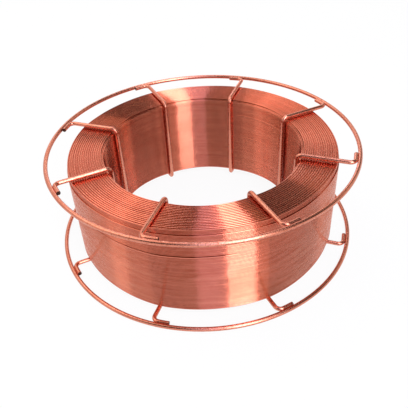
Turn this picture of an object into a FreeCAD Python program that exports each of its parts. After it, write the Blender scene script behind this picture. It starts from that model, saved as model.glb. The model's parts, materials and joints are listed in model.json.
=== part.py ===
import FreeCAD, Part
import math
import os

# Basket spool of copper-coated welding wire.
#
# Two wire rings are joined by bent wire spokes. Each spoke runs down the bore as a rod, turns out
# over both ends of the coil as an arm, and ends in a hook welded along the inside of a ring.
# The coil of welding wire is wound on the rods, between the arms.
#
# All sizes are in millimetres. +Z runs up the spool's axis and the lower ring stands on z = 0.

Vector = FreeCAD.Vector
up = Vector(0, 0, 1)
centre = Vector(0, 0, 0)

# basket
basket_diameter = 300.0      # over the rings
basket_width = 101.0         # along the axis, over the rings and the arms
bore_diameter = 180.0        # inside the rods, where the adapter of a wire feeder goes
ring_wire = 4.0              # diameter of the wire of a ring
spoke_wire = 4.0             # diameter of the wire of a spoke
spoke_count = 8
first_spoke_angle = 22.5     # degrees from +X
hook_reach = 15.3            # from an arm's centre line to the cut end of its hook
bend_radius = 5.0            # centre line of every bend in a spoke
weld_depth = 0.3             # how far the resistance weld sinks a hook into its ring

# coil
coil_diameter = 261.0
welding_wire = 1.2           # diameter of the wound wire
last_layer_stop = 5.0        # the last layer stops this far short of the coil's ends
seat_gap = 0.3               # between the coil and the rods and arms that hold it

# what follows from them
ring_radius = (basket_diameter - ring_wire) / 2
lower_level = max(ring_wire, spoke_wire) / 2      # neither the rings nor the arms pass the basket's width
upper_level = basket_width - lower_level
rod_radius = (bore_diameter + spoke_wire) / 2
hook_radius = ring_radius - (ring_wire + spoke_wire) / 2 + weld_depth
layer_rise = welding_wire * math.sqrt(3) / 2      # nested layers stand this far apart
coil_bore_radius = rod_radius + spoke_wire / 2 + seat_gap
coil_corner = bend_radius - spoke_wire / 2 - seat_gap       # rounds the bore's rims clear of the bends
coil_radius = coil_diameter / 2
coil_bottom = lower_level + spoke_wire / 2 + seat_gap
coil_top = upper_level - spoke_wire / 2 - seat_gap


def polar(radius, angle, z):
    return Vector(radius * math.cos(angle), radius * math.sin(angle), z)


def arc(start, middle, end):
    return Part.Arc(start, middle, end).toShape()


def line(start, end):
    return Part.LineSegment(start, end).toShape()


def make_ring(level):
    return Part.makeTorus(ring_radius, ring_wire / 2, Vector(0, 0, level), up)


def hook_edges(level):
    """Edges from the cut end of a hook to the start of its arm, for a spoke that lies along +X."""
    bend_centre_x = math.sqrt((hook_radius - bend_radius) ** 2 - bend_radius ** 2)
    bend_centre = Vector(bend_centre_x, bend_radius, level)
    bend_angle = math.atan2(bend_radius, bend_centre_x)
    tip_angle = math.asin(hook_reach / hook_radius)
    tip = polar(hook_radius, tip_angle, level)
    middle = polar(hook_radius, (tip_angle + bend_angle) / 2, level)
    bend_start = polar(hook_radius, bend_angle, level)
    bend_end = Vector(bend_centre_x, 0, level)
    half_turn = (bend_angle - math.pi / 2) / 2
    bend_middle = bend_centre + polar(bend_radius, half_turn, 0)
    return [arc(tip, middle, bend_start), arc(bend_start, bend_middle, bend_end)], bend_end


def corner_edge(level, inward):
    """The bend between an arm at this level and the rod. inward is the z direction of the rod from it."""
    arm_end = Vector(rod_radius + bend_radius, 0, level)
    rod_end = Vector(rod_radius, 0, level + inward * bend_radius)
    bend_centre = Vector(rod_radius + bend_radius, 0, level + inward * bend_radius)
    diagonal = bend_radius / math.sqrt(2)
    middle = bend_centre + Vector(-diagonal, 0, -inward * diagonal)
    return arc(arm_end, middle, rod_end), arm_end, rod_end


def make_spoke(rings):
    """A spoke that lies along +X: one round wire bent along one path, let into the rings at its welds."""
    upper_hook, upper_arm_start = hook_edges(upper_level)
    lower_hook, lower_arm_start = hook_edges(lower_level)
    upper_corner, upper_arm_end, rod_top = corner_edge(upper_level, -1)
    lower_corner, lower_arm_end, rod_bottom = corner_edge(lower_level, 1)
    path = Part.Wire(
        upper_hook
        + [line(upper_arm_start, upper_arm_end), upper_corner]
        + [line(rod_top, rod_bottom), lower_corner]
        + [line(lower_arm_end, lower_arm_start)]
        + lower_hook[::-1]
    )
    tip_angle = math.asin(hook_reach / hook_radius)
    tip = polar(hook_radius, tip_angle, upper_level)
    along = polar(1, tip_angle - math.pi / 2, 0)
    section = Part.Wire(Part.makeCircle(spoke_wire / 2, tip, along))
    wire = path.makePipeShell([section], True, False)
    for ring in rings:
        wire = wire.cut(ring)
    return wire


def turned_end(level, outward, inner_radius, outer_radius):
    """Profile of one end of the coil, from its bore outwards. Every second layer ends in a proud turn."""
    valley = level - outward * welding_wire / 2
    bore_end = Vector(inner_radius, 0, valley - outward * coil_corner)
    corner_centre = bore_end + Vector(coil_corner, 0, 0)
    corner_end = Vector(corner_centre.x, 0, valley)
    diagonal = coil_corner / math.sqrt(2)
    corner_middle = corner_centre + Vector(-diagonal, 0, outward * diagonal)
    edges = [arc(bore_end, corner_middle, corner_end)]
    ridge_count = int((outer_radius - corner_end.x) / (2 * layer_rise))
    ridge_width = (outer_radius - corner_end.x) / ridge_count
    for i in range(ridge_count):
        start = corner_end + Vector(i * ridge_width, 0, 0)
        crest = start + Vector(ridge_width / 2, 0, outward * welding_wire / 2)
        end = corner_end + Vector((i + 1) * ridge_width, 0, 0)
        edges.append(arc(start, crest, end))
    return edges, bore_end, Vector(outer_radius, 0, valley)


def make_coil():
    """The wound wire as one turned solid. Its last layer is short, so both rims have a small step."""
    rim_radius = coil_radius - layer_rise
    lower_end, lower_bore, lower_rim = turned_end(coil_bottom, -1, coil_bore_radius, rim_radius)
    upper_end, upper_bore, upper_rim = turned_end(coil_top, 1, coil_bore_radius, rim_radius)
    step_bottom = coil_bottom + last_layer_stop
    step_top = coil_top - last_layer_stop
    outside = [
        lower_rim,
        Vector(rim_radius, 0, step_bottom),
        Vector(coil_radius, 0, step_bottom),
        Vector(coil_radius, 0, step_top),
        Vector(rim_radius, 0, step_top),
        upper_rim,
    ]
    edges = lower_end + [line(a, b) for a, b in zip(outside, outside[1:])]
    edges += upper_end[::-1] + [line(upper_bore, lower_bore)]
    return Part.Face(Part.Wire(edges)).revolve(centre, up, 360)


def save(shape, node):
    shape.exportStep(os.path.join("parts", node + ".step"))


os.makedirs("parts", exist_ok=True)
lower_ring = make_ring(lower_level)
upper_ring = make_ring(upper_level)
save(lower_ring, "lower_ring")
save(upper_ring, "upper_ring")
spoke = make_spoke([lower_ring, upper_ring])
for i in range(spoke_count):
    angle = first_spoke_angle + i * 360 / spoke_count
    save(spoke.rotated(centre, up, angle), "spoke_%d" % (i + 1))
save(make_coil(), "wire_coil")
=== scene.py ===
import json
import math

import bmesh
import bpy
import numpy as np
from mathutils import Matrix, Vector


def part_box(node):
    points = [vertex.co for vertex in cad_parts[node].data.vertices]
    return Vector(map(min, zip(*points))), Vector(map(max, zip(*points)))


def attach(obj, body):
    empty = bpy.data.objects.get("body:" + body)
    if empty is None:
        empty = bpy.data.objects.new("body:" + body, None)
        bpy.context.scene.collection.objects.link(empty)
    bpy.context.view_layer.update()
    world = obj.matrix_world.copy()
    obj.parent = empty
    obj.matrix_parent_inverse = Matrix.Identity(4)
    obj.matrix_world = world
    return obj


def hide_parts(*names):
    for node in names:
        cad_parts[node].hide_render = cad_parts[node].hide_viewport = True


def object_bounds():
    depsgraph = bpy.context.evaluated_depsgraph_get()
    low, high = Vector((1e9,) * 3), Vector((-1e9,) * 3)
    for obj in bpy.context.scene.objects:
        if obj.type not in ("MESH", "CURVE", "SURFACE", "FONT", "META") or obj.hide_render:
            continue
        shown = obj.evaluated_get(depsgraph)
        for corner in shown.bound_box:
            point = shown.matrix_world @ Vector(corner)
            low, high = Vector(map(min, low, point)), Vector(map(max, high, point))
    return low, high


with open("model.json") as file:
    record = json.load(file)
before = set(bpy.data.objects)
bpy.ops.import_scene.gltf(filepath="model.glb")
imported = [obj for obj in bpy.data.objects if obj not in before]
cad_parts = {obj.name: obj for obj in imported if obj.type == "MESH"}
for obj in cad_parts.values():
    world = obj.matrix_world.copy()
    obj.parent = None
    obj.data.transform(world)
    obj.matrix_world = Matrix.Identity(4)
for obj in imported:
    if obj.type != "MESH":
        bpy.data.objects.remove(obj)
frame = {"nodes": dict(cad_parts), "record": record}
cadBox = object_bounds()
print("frame loaded:", len(frame["nodes"]), "nodes")

spokeCount = 8
firstSpokeAngle = 22.5          # degrees from +X
spokeStep = 360 / spokeCount
spokeNames = ["spoke_%d" % (i + 1) for i in range(spokeCount)]
spokeAngles = [firstSpokeAngle + spokeStep * i for i in range(spokeCount)]
ringNames = ["upper_ring", "lower_ring"]


class Sock:
    # one socket of a node tree, with the operators that shader maths needs
    def __init__(self, tree, socket):
        self.tree = tree
        self.socket = socket

    def math(self, operation, other, flipped=False, clamp=False):
        node = self.tree.nodes.new("ShaderNodeMath")
        node.operation = operation
        node.use_clamp = clamp
        values = (other, self) if flipped else (self, other)
        for slot, value in zip(node.inputs, values):
            plug(self.tree, slot, value)
        return Sock(self.tree, node.outputs[0])

    def __add__(self, other):
        return self.math("ADD", other)

    def __sub__(self, other):
        return self.math("SUBTRACT", other)

    def __mul__(self, other):
        return self.math("MULTIPLY", other)

    def __truediv__(self, other):
        return self.math("DIVIDE", other)

    def __radd__(self, other):
        return self.math("ADD", other)

    def __rsub__(self, other):
        return self.math("SUBTRACT", other, flipped=True)

    def __rmul__(self, other):
        return self.math("MULTIPLY", other)

    def __rtruediv__(self, other):
        return self.math("DIVIDE", other, flipped=True)

    def clamped(self):
        return self.math("ADD", 0, clamp=True)

    def above(self, edge, soft):
        # 0 below edge - soft, 1 above edge + soft
        return ((self - (edge - soft)) / (2 * soft)).clamped()


def plug(tree, slot, value):
    if isinstance(value, Sock):
        tree.links.new(value.socket, slot)
    elif slot.type == "RGBA" and len(value) == 3:
        slot.default_value = (*value, 1)
    else:
        slot.default_value = value


class Finish:
    # a material under construction
    def __init__(self, name):
        self.material = bpy.data.materials.new(name)
        self.material.use_nodes = True
        self.tree = self.material.node_tree
        self.tree.nodes.clear()
        self.output = self.tree.nodes.new("ShaderNodeOutputMaterial")

    def node(self, kind, settings=None, out=0, **values):
        # in0, in1 and so on are sockets by number, other words are sockets by name
        made = self.tree.nodes.new("ShaderNode" + kind)
        for key, value in (settings or {}).items():
            setattr(made, key, value)
        for key, value in values.items():
            numbered = key.startswith("in") and key[2:].isdigit()
            slot = made.inputs[int(key[2:]) if numbered else key.replace("_", " ")]
            plug(self.tree, slot, value)
        return Sock(self.tree, made.outputs[out])

    def mix(self, factor, first, second):
        return self.node("Mix", {"data_type": "RGBA"}, out=2, in0=factor, in6=first, in7=second)

    def noise(self, vector, scale, detail):
        return self.node("TexNoise", Vector=vector, Scale=scale, Detail=detail, Roughness=0.5)

    def place(self):
        return self.node("TexCoord", out=3)      # object coordinates

    def attribute(self, name):
        return self.node("Attribute", {"attribute_name": name}, out=2)

    def bump(self, height, strength, distance):
        return self.node("Bump", Height=height, Strength=strength, Distance=distance)

    def ends(self, shader):
        self.tree.links.new(shader.socket, self.output.inputs[0])
        return self.material

    def surface(self, **values):
        return self.ends(self.node("BsdfPrincipled", **values))


def addPiece(name, mesh, material):
    piece = bpy.data.objects.new(name, mesh)
    bpy.context.scene.collection.objects.link(piece)
    piece.data.materials.append(material)
    return piece


coilLow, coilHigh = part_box("wire_coil")
ringLow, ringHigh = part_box("lower_ring")
adapterSeat = next(m for m in frame["record"]["mounts"] if m["name"] == "adapter_seat")
boreRadius = adapterSeat["dims"]["r_mm"] / 1000
basketWire = ringHigh[2] - ringLow[2]
seatGap = 0.0003                # between a rod and the coil

coilSettings = {
    "wire": 0.0012,             # diameter of the welding wire
    "pitch": 0.00124,           # between two turns of a layer
    "outerRadius": (coilHigh[0] - coilLow[0]) / 2,
    "innerRadius": boreRadius + basketWire + seatGap,
    "lastLayerShort": 0.005,    # the last layer stops this far from both ends
    "innerLayerShort": 0.003,   # the innermost one gives way to the rounded rims of the bore
    "sides": 6,
    "endSides": 10,             # the turns on the two ends show their whole round top
    "steps": 180,
    "panelSag": 0.0010,         # how much flatter the wire lies between two spokes
    "cornerSoftness": 0.006,    # how softly it bends where it passes a spoke
    # unevenness: of a turn's radius and level on the sides, and on the two ends
    "turnWander": 0.00001,
    "turnWaves": 12,
    "levelWaves": 5,
    "endRadiusWander": 0.00003,
    "endLevelWander": 0.00004,
    "endWaves": 4,
    "streakSlope": 0.0045,      # how far short waves turn the surface, alike on neighbouring turns
    "streakGroup": 1.2,         # how many turns are alike
    "streakReach": 4,
    "streakWaves": (9, 40),     # per round
    "bevelWidth": 0.0027,       # the turns sink towards the bore over this width
    "bevelShare": 0.8,
    # turns that stand proud of their layer, with azimuths in degrees
    "looseEase": 6,             # degrees over which such a turn leaves its layer
    "looseTurns": [
        {"height": 0.0690, "azimuths": (214, 280), "reach": 0.00045, "lift": -0.0003},
        {"height": 0.0703, "azimuths": (216, 252), "reach": 0.0002, "lift": 0.0002},
        {"height": 0.0690, "azimuths": (316, 332), "reach": 0.0003, "lift": 0.0002},
    ],
    "innerLooseTurns": [
        {"height": 0.0790, "azimuths": (22, 66), "reach": -0.0003, "lift": 0.0003},
        {"height": 0.0520, "azimuths": (22, 60), "reach": -0.0002, "lift": 0.0003},
        {"height": 0.0620, "azimuths": (116, 150), "reach": -0.0002, "lift": 0.0003},
    ],
    # lines on which every turn of a layer has the same small bend, from the first height to the second
    "outerKinks": [
        {
            "azimuths": (247.5, 251.5), "heights": (0.007, 0.05),
            "reach": 0.00012, "width": 1.6, "ragged": 0.15,
        },
    ],
    "innerKinks": [
        {"azimuths": (124.0, 124.0), "heights": (0.0, 0.1), "reach": -0.0005, "width": 3.5, "ragged": 0.1},
        {"azimuths": (117.5, 117.5), "heights": (0.0, 0.1), "reach": -0.0004, "width": 2.8, "ragged": 0.1},
    ],
    "coreCorner": 0.0026,
    "coreSteps": 96,
}


def panelSag(angle, s):
    # the wire passes each spoke at a soft corner and lies a little flatter between two spokes
    step = math.radians(spokeStep)
    fromSpoke = np.abs((angle - math.radians(firstSpokeAngle) + step / 2) % step - step / 2) / (step / 2)
    rounded = np.sqrt(fromSpoke ** 2 + s["cornerSoftness"]) - math.sqrt(s["cornerSoftness"])
    return s["panelSag"] * (1 - (1 - np.clip(rounded, 0, 1)) ** 2)


def roundAngles(steps):
    return np.linspace(0, 2 * math.pi, steps, endpoint=False)


def buildTurns(name, radii, levels, half, sides, rng):
    # one closed round of wire for each row of radii and levels
    paths, steps = radii.shape
    angle = roundAngles(steps)
    outward = np.stack([np.cos(angle), np.sin(angle), np.zeros(steps)], axis=1)
    centres = radii[:, :, None] * outward[None, :, :]
    centres[:, :, 2] += levels
    up = np.array([0.0, 0.0, 1.0])
    rounds = []
    for k in range(sides):
        spin = 2 * math.pi * (k + 0.5) / sides
        rounds.append(centres + half * (math.cos(spin) * outward + math.sin(spin) * up))
    verts = np.stack(rounds, axis=2).reshape(-1, 3)
    index = np.arange(paths * steps * sides).reshape(paths, steps, sides)
    nextStep = np.roll(index, -1, axis=1)
    nextSide = np.roll(index, -1, axis=2)
    both = np.roll(nextStep, -1, axis=2)
    faces = np.stack([index, nextStep, both, nextSide], axis=3).reshape(-1, 4)
    mesh = bpy.data.meshes.new(name)
    mesh.vertices.add(len(verts))
    mesh.vertices.foreach_set("co", verts.ravel())
    mesh.loops.add(faces.size)
    mesh.loops.foreach_set("vertex_index", faces.ravel())
    mesh.polygons.add(len(faces))
    mesh.polygons.foreach_set("loop_start", np.arange(0, faces.size, 4))
    mesh.polygons.foreach_set("loop_total", np.full(len(faces), 4))
    mesh.update(calc_edges=True)
    mesh.polygons.foreach_set("use_smooth", np.full(len(faces), True))
    shade = mesh.attributes.new("turnShade", "FLOAT", "POINT")       # one value for each turn
    shade.data.foreach_set("value", np.repeat(rng.uniform(0, 1, paths), steps * sides))
    mesh.validate()
    return addPiece(name, mesh, woundMaterial)


def wander(rng, paths, steps, size, waves):
    # a slow closed wave for each path
    angle = roundAngles(steps)
    total = np.zeros((paths, steps))
    for wave in range(1, waves + 1):
        strength = rng.normal(0, size / math.sqrt(wave), (paths, 1))
        phase = rng.uniform(0, 2 * math.pi, (paths, 1))
        total += strength * np.cos(wave * angle[None, :] + phase)
    return total


def streaks(rng, paths, radius, s):
    # short waves that turn the surface by about the slope, alike on neighbouring turns
    angle = roundAngles(s["steps"])
    total = np.zeros((paths, s["steps"]))
    first, last = s["streakWaves"]
    reach = np.arange(-s["streakReach"], s["streakReach"] + 1)
    weights = np.exp(-(reach / s["streakGroup"]) ** 2 / 2)
    weights /= math.sqrt((weights ** 2).sum())
    spare = 2 * s["streakReach"]
    for wave in range(first, last + 1):
        size = s["streakSlope"] * radius / (wave * math.sqrt(last - first + 1))
        across = np.convolve(rng.normal(0, size, paths + spare), weights, "valid")[:, None]
        along = np.convolve(rng.normal(0, size, paths + spare), weights, "valid")[:, None]
        total += across * np.cos(wave * angle[None, :]) + along * np.sin(wave * angle[None, :])
    return total


def hump(angle, middle, width):
    # 1 at the middle, 0 beyond the width, in degrees
    away = (np.degrees(angle) - middle + 180) % 360 - 180
    return np.where(np.abs(away) < width, 0.5 + 0.5 * np.cos(math.pi * away / width), 0)


def stretch(angle, start, end, soft):
    # 1 between start and end, 0 outside them, in degrees
    turned = np.degrees(angle)
    return np.clip((turned - start) / soft, 0, 1) * np.clip((end - turned) / soft, 0, 1)


copperCoat = {
    "clean": (0.65, 0.18, 0.11),
    "pale": (0.72, 0.24, 0.15),
    "dull": (0.42, 0.10, 0.045),
    "patchScale": 22.0,
    "grainScale": 420.0,
    "startShade": 0.2,          # 0 is clean, 1 is pale
    "turnShare": 0.6,           # how much one turn's shade differs from the next one's
    "patchShare": 0.8,
    "dullEdge": 0.62,
    "dullSoftness": 0.08,
    "dullShare": 0.35,
    "roughness": 0.13,
    "roughnessSpread": 0.05,
    "bump": 0.02,
    "bumpDepth": 0.0001,
}


def copperWound(name, s):
    f = Finish(name)
    place = f.place()
    turn = f.attribute("turnShade")
    patches = f.noise(place, s["patchScale"], 3.0)
    grain = f.noise(place, s["grainScale"], 2.0)
    shade = turn * s["turnShare"] + (patches - 0.5) * s["patchShare"] + s["startShade"]
    colour = f.mix(shade.clamped(), s["clean"], s["pale"])
    colour = f.mix(patches.above(s["dullEdge"], s["dullSoftness"]) * s["dullShare"], colour, s["dull"])
    rough = s["roughness"] + (turn - 0.5) * s["roughnessSpread"] + (grain - 0.5) * s["roughnessSpread"]
    bump = f.bump(grain, s["bump"], s["bumpDepth"])
    return f.surface(Base_Color=colour, Roughness=rough, Metallic=1.0, Normal=bump)


basketCoat = {
    "clean": (0.66, 0.21, 0.13),
    "pale": (0.76, 0.30, 0.21),
    "dull": (0.40, 0.10, 0.05),
    "patchScale": 40.0,
    "patchContrast": 2.0,
    "grainScale": 600.0,
    "roughness": 0.27,
    "roughnessSpread": 0.2,
    "speckEdge": 0.60,          # how much of the wire has dull specks
    "speckSoftness": 0.06,
    "speckShare": 0.6,
    "bump": 0.15,
    "bumpDepth": 0.0002,
}


def copperBasket(name, s):
    f = Finish(name)
    place = f.place()
    patches = f.noise(place, s["patchScale"], 4.0)
    grain = f.noise(place, s["grainScale"], 3.0)
    shade = (patches - 0.5) * s["patchContrast"] + 0.5
    colour = f.mix(shade.clamped(), s["clean"], s["pale"])
    colour = f.mix(grain.above(s["speckEdge"], s["speckSoftness"]) * s["speckShare"], colour, s["dull"])
    rough = s["roughness"] + (grain - 0.5) * s["roughnessSpread"]
    bump = f.bump(grain, s["bump"], s["bumpDepth"])
    return f.surface(Base_Color=colour, Roughness=rough, Metallic=1.0, Normal=bump)


woundMaterial = copperWound("copperWound", copperCoat)
basketMaterial = copperBasket("copperBasket", basketCoat)


def makeLayer(name, radius, start, stop, outward, kinks, looseTurns, s, rng):
    # a layer seen from its side: turns one above another. outward is 1 outside and -1 in the bore
    steps = s["steps"]
    angle = roundAngles(steps)
    count = int((stop - start - s["wire"]) / s["pitch"]) + 1
    spare = (stop - start - s["wire"]) - (count - 1) * s["pitch"]
    heights = start + s["wire"] / 2 + spare / 2 + s["pitch"] * np.arange(count)
    radii = np.full((count, steps), radius) - panelSag(angle, s)[None, :] * outward
    radii = radii - np.abs(wander(rng, count, steps, s["turnWander"], s["turnWaves"])) * outward
    radii = radii + streaks(rng, count, radius, s)
    levels = np.repeat(heights[:, None], steps, axis=1)
    levels = levels + wander(rng, count, steps, s["turnWander"], s["levelWaves"])
    for kink in kinks:
        lowest, highest = kink["heights"]
        first, last = kink["azimuths"]
        for i, height in enumerate(heights):
            if lowest <= height <= highest:
                middle = first + (height - lowest) / (highest - lowest) * (last - first)
                middle += rng.normal(0, kink["ragged"])
                radii[i] += kink["reach"] * hump(angle, middle, kink["width"])
    for loose in looseTurns:
        i = int(np.argmin(np.abs(heights - loose["height"])))
        held = stretch(angle, *loose["azimuths"], s["looseEase"])
        radii[i] += loose["reach"] * held
        levels[i] += loose["lift"] * held
    return buildTurns(name, radii, levels, s["wire"] / 2, s["sides"], rng)


def makeEnd(name, level, inward, s, rng):
    # one end of the coil: a turn of every layer, each second one a little lower
    half = s["wire"] / 2
    steps = s["steps"]
    rise = s["wire"] * math.sqrt(3) / 2
    inner = s["innerRadius"] + half
    outer = s["outerRadius"] - half - rise
    layers = int((outer - inner) / rise) + 1
    radii = inner + (outer - inner) / (layers - 1) * np.arange(layers)
    outwards = np.clip((radii - inner) / (outer - inner), 0, 1)[:, None]
    spread = radii[:, None] - panelSag(roundAngles(steps), s)[None, :] * (2 * outwards - 1)
    spread = spread + wander(rng, layers, steps, s["endRadiusWander"], s["endWaves"])
    spread = np.clip(spread, inner, None)
    sunk = (np.arange(layers) % 2) * half
    bevel = np.clip(s["bevelWidth"] - (radii - inner), 0, None) ** 2 / s["bevelWidth"] * s["bevelShare"]
    uneven = np.abs(wander(rng, layers, steps, s["endLevelWander"], s["endWaves"]))
    levels = level + inward * (half + (sunk + bevel)[:, None] + uneven)
    return buildTurns(name, spread, levels, half, s["endSides"], rng)


def makeCore(bottom, top, s):
    # plain body behind the turns, so no light passes between them
    bm = bmesh.new()
    inner = s["innerRadius"] + s["panelSag"] + s["wire"]
    outer = s["outerRadius"] - s["panelSag"] - 2 * s["wire"]
    low, high = bottom + s["wire"], top - s["wire"]
    corner = s["coreCorner"]
    profile = [
        (inner, low + corner), (inner + corner, low), (outer, low),
        (outer, high), (inner + corner, high), (inner, high - corner),
    ]
    sections = []
    for i in range(s["coreSteps"]):
        angle = 2 * math.pi * i / s["coreSteps"]
        sections.append([bm.verts.new((r * math.cos(angle), r * math.sin(angle), z)) for r, z in profile])
    for i, section in enumerate(sections):
        after = sections[(i + 1) % len(sections)]
        for j in range(len(profile)):
            k = (j + 1) % len(profile)
            bm.faces.new((section[j], after[j], after[k], section[k]))
    bmesh.ops.recalc_face_normals(bm, faces=bm.faces)
    mesh = bpy.data.meshes.new("coil_core")
    bm.to_mesh(mesh)
    bm.free()
    return addPiece("coil_core", mesh, woundMaterial)


def makeCoil(s):
    rng = np.random.default_rng(7)
    bottom, top = coilLow[2], coilHigh[2]
    half = s["wire"] / 2
    rise = s["wire"] * math.sqrt(3) / 2
    outside = s["outerRadius"] - half
    short, innerShort = s["lastLayerShort"], s["innerLayerShort"]
    pieces = [
        makeLayer("coil_outer_layer", outside, bottom + short, top - short, 1,
                  s["outerKinks"], s["looseTurns"], s, rng),
        makeLayer("coil_second_layer", outside - rise, bottom, top, 1, [], [], s, rng),
        makeLayer("coil_inner_layer", s["innerRadius"] + half, bottom + innerShort, top - innerShort, -1,
                  s["innerKinks"], s["innerLooseTurns"], s, rng),
        makeEnd("coil_top_turns", top, -1, s, rng),
        makeEnd("coil_bottom_turns", bottom, 1, s, rng),
        makeCore(bottom, top, s),
    ]
    for piece in pieces:
        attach(piece, "root")
        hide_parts("wire_coil")
    print("coil:", sum(len(piece.data.polygons) for piece in pieces) * 2, "triangles")


makeCoil(coilSettings)

# painted shade for the hooks' cut ends: a nearly black colour stands for the shade of a sheared wire end,
# whose shape isn't modelled; the lighter grain tops are a painted glint
cutEndPaintedShade = {
    "colour": (0.05, 0.022, 0.016),
    "paintedGlint": 2.2,               # painted glint: how much lighter the grain's tops are
    "grainScale": 900.0,
    "roughness": 0.6,
    "roughnessSpread": 0.3,
    "bump": 0.3,
    "bumpDepth": 0.0002,
    "tipAngle": 6.09,           # degrees from a spoke's arm round to the cut end of its hook
    "flatness": 0.00002,
}


def cutEnd(name, s):
    # bare wire where a hook was sheared off, with painted shade: coloured nearly black to stand for the shade
    # of the sheared end, whose shape isn't modelled, and a painted glint on the grain's tops
    f = Finish(name)
    grain = f.noise(f.place(), s["grainScale"], 3.0)
    rough = s["roughness"] + (grain - 0.5) * s["roughnessSpread"]
    colour = f.mix(grain.clamped(), s["colour"], [c * s["paintedGlint"] for c in s["colour"]])
    bump = f.bump(grain, s["bump"], s["bumpDepth"])
    return f.surface(Base_Color=colour, Roughness=rough, Metallic=1.0, Normal=bump)


def paintShadeOnCutEnds(piece, spokeAngle, s):
    # the two flat ends of a spoke's wire face along its hooks; they get the cut ends' painted shade
    a = math.radians(spokeAngle + s["tipAngle"])
    along = Vector((-math.sin(a), math.cos(a), 0))
    verts = piece.data.vertices
    furthest = max(along.dot(piece.matrix_world @ v.co) for v in verts)
    for face in piece.data.polygons:
        if all(along.dot(piece.matrix_world @ verts[i].co) > furthest - s["flatness"] for i in face.vertices):
            face.material_index = 1
            face.use_smooth = False


endShadeMaterial = cutEnd("cutEnd", cutEndPaintedShade)
for node in spokeNames + ringNames:
    piece = frame["nodes"][node]
    piece.data.materials.clear()
    piece.data.materials.append(basketMaterial)
    piece.data.polygons.foreach_set("use_smooth", [True] * len(piece.data.polygons))
# each spoke's cut ends get the painted shade
for node, spokeAngle in zip(spokeNames, spokeAngles):
    frame["nodes"][node].data.materials.append(endShadeMaterial)
    paintShadeOnCutEnds(frame["nodes"][node], spokeAngle, cutEndPaintedShade)
print("basket finished")

view = {
    "place": (-1.2, -436.3, 309.5),     # mm from the spool's middle, before the turn below
    "turn": -1.5,                       # degrees about the spool's axis
    "right": (0.9984, -0.0342, -0.0442),
    "up": (0.0559, 0.6106, 0.7899),
    "lens": 46.22,
    "middle": (cadBox[0][2] + cadBox[1][2]) / 2,
}


def makeCamera(s):
    turn = Matrix.Rotation(math.radians(s["turn"]), 3, "Z")
    right = (turn @ Vector(s["right"])).normalized()
    up = turn @ Vector(s["up"])
    back = right.cross(up).normalized()
    up = back.cross(right)
    data = bpy.data.cameras.new("camera")
    data.lens = s["lens"]
    data.sensor_width = 36
    data.clip_start = 0.01
    camera = bpy.data.objects.new("camera", data)
    bpy.context.scene.collection.objects.link(camera)
    place = turn @ Vector(s["place"]) / 1000 + Vector((0, 0, s["middle"]))
    camera.matrix_world = Matrix((
        (right.x, up.x, back.x, place.x),
        (right.y, up.y, back.y, place.y),
        (right.z, up.z, back.z, place.z),
        (0, 0, 0, 1),
    ))
    bpy.context.scene.camera = camera
    print("camera ready")


makeCamera(view)

floorSettings = {
    "radius": 3.0,
    "rimWidth": 0.9,            # the backdrop bends up this far outside the floor
    "rimRise": 1.15,
    "bendSteps": 12,
    "steps": 96,
    "colour": (0.86, 0.86, 0.86),
    "backgroundShare": 0.92,    # the rest is lit by the lamps and keeps the shadow
}


def seenPlainly(tree):
    # 1 for rays from the camera and for those that metal or glass sends on
    path = tree.nodes.new("ShaderNodeLightPath")
    kinds = [Sock(tree, path.outputs["Is %s Ray" % kind]) for kind in ("Camera", "Glossy", "Transmission")]
    return (kinds[0] + kinds[1] + kinds[2]).clamped()


def makeFloor(s):
    # a round pale floor that turns up softly at its edge
    profile = [(0.0, 0.0)]
    for a in np.linspace(0, math.pi / 2, s["bendSteps"]):
        profile.append((s["radius"] + s["rimWidth"] * math.sin(a), s["rimRise"] * (1 - math.cos(a))))
    bm = bmesh.new()
    rows = []
    for azimuth in roundAngles(s["steps"]):
        rows.append([bm.verts.new((r * math.cos(azimuth), r * math.sin(azimuth), z)) for r, z in profile])
    for i, row in enumerate(rows):
        after = rows[(i + 1) % len(rows)]
        for j in range(len(profile) - 1):
            bm.faces.new((row[j], row[j + 1], after[j + 1], after[j]))
    bmesh.ops.remove_doubles(bm, verts=bm.verts, dist=1e-5)
    mesh = bpy.data.meshes.new("floor")
    bm.to_mesh(mesh)
    bm.free()
    f = Finish("floorWhite")
    diffuse = f.node("BsdfDiffuse", Color=s["colour"])
    white = f.node("Emission", Color=(1, 1, 1), Strength=1.0)
    share = seenPlainly(f.tree) * s["backgroundShare"]
    addPiece("floor", mesh, f.ends(f.node("MixShader", in0=share, in1=diffuse, in2=white)))
    print("floor ready")


room = {"strength": 0.06}


def makeWorld(s):
    # a plain dim room, the same for every ray
    world = bpy.data.worlds.new("world")
    bpy.context.scene.world = world
    world.use_nodes = True
    background = world.node_tree.nodes["Background"]
    background.inputs["Color"].default_value = (1, 1, 1, 1)
    background.inputs["Strength"].default_value = s["strength"]


def direction(azimuth, elevation):
    a, e = math.radians(azimuth), math.radians(elevation)
    return Vector((math.cos(a) * math.cos(e), math.sin(a) * math.cos(e), math.sin(e)))


# in what follows azimuths and elevations are seen from the spool's middle, in degrees
softBox = {
    "azimuth": 160,
    "elevation": 62,
    "distance": 1.6,
    "size": 1.4,
    "power": 5.0,
    "colour": (1, 0.96, 0.9),
}


def makeSoftBox(s):
    data = bpy.data.lights.new("softBox", "AREA")
    data.shape = "DISK"
    data.size = s["size"]
    data.energy = s["power"]
    data.color = s["colour"]
    lamp = bpy.data.objects.new("softBox", data)
    bpy.context.scene.collection.objects.link(lamp)
    away = direction(s["azimuth"], s["elevation"])
    lamp.location = away * s["distance"]
    lamp.rotation_euler = away.to_track_quat("Z", "Y").to_euler()
    lamp.visible_camera = False


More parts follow.
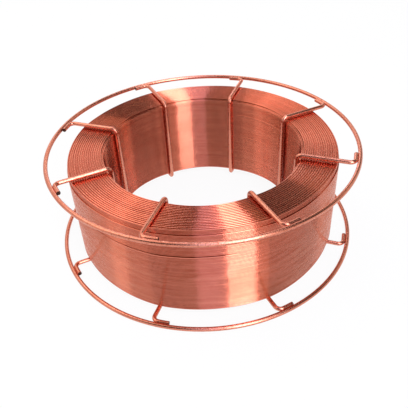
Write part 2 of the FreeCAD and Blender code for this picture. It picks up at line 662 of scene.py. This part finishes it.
# Each soft box is a bent strip that stands where the turns between two azimuths of the coil mirror it
# towards the aim. Its three parts run up from the horizon and over the top, and they light everything.
boxes = {
    "distance": 2.4,
    "aimAzimuth": 268.5,        # the side that the camera is on
    "aimElevation": 40,         # a little above it
    "rolls": (3, 24, 64, 172),  # where the parts meet, in degrees round a turn's own direction
    "rows": 20,
    "columns": 8,
    "bands": [
        {
            "name": "leftBox", "azimuths": (178.5, 223.5),
            "levels": (0.7, 0.9, 1.2), "colour": (1, 0.94, 0.87),
        },
        {
            "name": "paleBox", "azimuths": (223.5, 231.5),
            "levels": (1.1, 1.6, 1.4), "colour": (1, 0.97, 0.9),
        },
        {
            "name": "leftInnerBox", "azimuths": (231.5, 242.0),
            "levels": (0.5, 0.7, 1.0), "colour": (1, 0.94, 0.87),
        },
        {
            "name": "lilacBox", "azimuths": (264.0, 275.5),
            "levels": (1.2, 1.2, 1.4), "colour": (0.88, 0.95, 1.4),
        },
        {
            "name": "keyBox", "azimuths": (275.5, 286.5),
            "levels": (7.5, 7.5, 4.8), "colour": (0.97, 1.02, 1.12),
        },
        {
            "name": "warmBox", "azimuths": (286.5, 293.0),
            "levels": (0.9, 0.9, 0.8), "colour": (1, 0.85, 0.75),
        },
        {
            "name": "rightBox", "azimuths": (323.0, 338.0),
            "levels": (0.7, 1.0, 0.5), "colour": (1, 0.95, 0.85),
        },
    ],
}


def mirrored(turnAzimuth, roll, s):
    # where light must come from to reach the aim off a turn at that azimuth
    a = math.radians(turnAzimuth)
    outward = Vector((math.cos(a), math.sin(a), 0))
    along = Vector((-math.sin(a), math.cos(a), 0))
    kept = -direction(s["aimAzimuth"], s["aimElevation"]).dot(along)
    r = math.radians(roll)
    across = math.cos(r) * outward + math.sin(r) * Vector((0, 0, 1))
    return kept * along + math.sqrt(1 - kept * kept) * across


def makePatch(name, columns, distance, level, colour):
    # a glowing sheet from columns of directions, kept above the floor
    lowest = 0.002
    bm = bmesh.new()
    grid = []
    for column in columns:
        spots = [way * distance + Vector((0, 0, view["middle"])) for way in column]
        grid.append([bm.verts.new((spot.x, spot.y, max(spot.z, lowest))) for spot in spots])
    for left, right in zip(grid, grid[1:]):
        for j in range(len(left) - 1):
            bm.faces.new((left[j], right[j], right[j + 1], left[j + 1]))
    mesh = bpy.data.meshes.new(name)
    bm.to_mesh(mesh)
    bm.free()
    f = Finish(name + "Cloth")
    patch = addPiece(name, mesh, f.ends(f.node("Emission", Color=colour, Strength=level)))
    patch.visible_camera = False
    patch.visible_shadow = False


def makeBoxes(s):
    for band in s["bands"]:
        for i, level in enumerate(band["levels"]):
            rolls = np.linspace(s["rolls"][i], s["rolls"][i + 1], s["rows"])
            azimuths = np.linspace(*band["azimuths"], s["columns"])
            columns = [[mirrored(a, r, s) for r in rolls] for a in azimuths]
            makePatch("%s_%d" % (band["name"], i + 1), columns, s["distance"], level, band["colour"])


# lights the turns at the sides, which mirror the low part of the room behind the spool
backBox = {
    "azimuths": (84, 150),
    "elevations": (2, 44),
    "rows": 8,
    "columns": 12,
    "distance": 2.5,
    "level": 1.2,
    "colour": (1, 0.95, 0.9),
}


def makeBackBox(s):
    elevations = np.linspace(*s["elevations"], s["rows"])
    azimuths = np.linspace(*s["azimuths"], s["columns"])
    columns = [[direction(a, e) for e in elevations] for a in azimuths]
    makePatch("backBox", columns, s["distance"], s["level"], s["colour"])


bpy.context.scene.view_settings.view_transform = "Standard"
makeFloor(floorSettings)
makeWorld(room)
makeSoftBox(softBox)
makeBoxes(boxes)
makeBackBox(backBox)
print("studio ready")
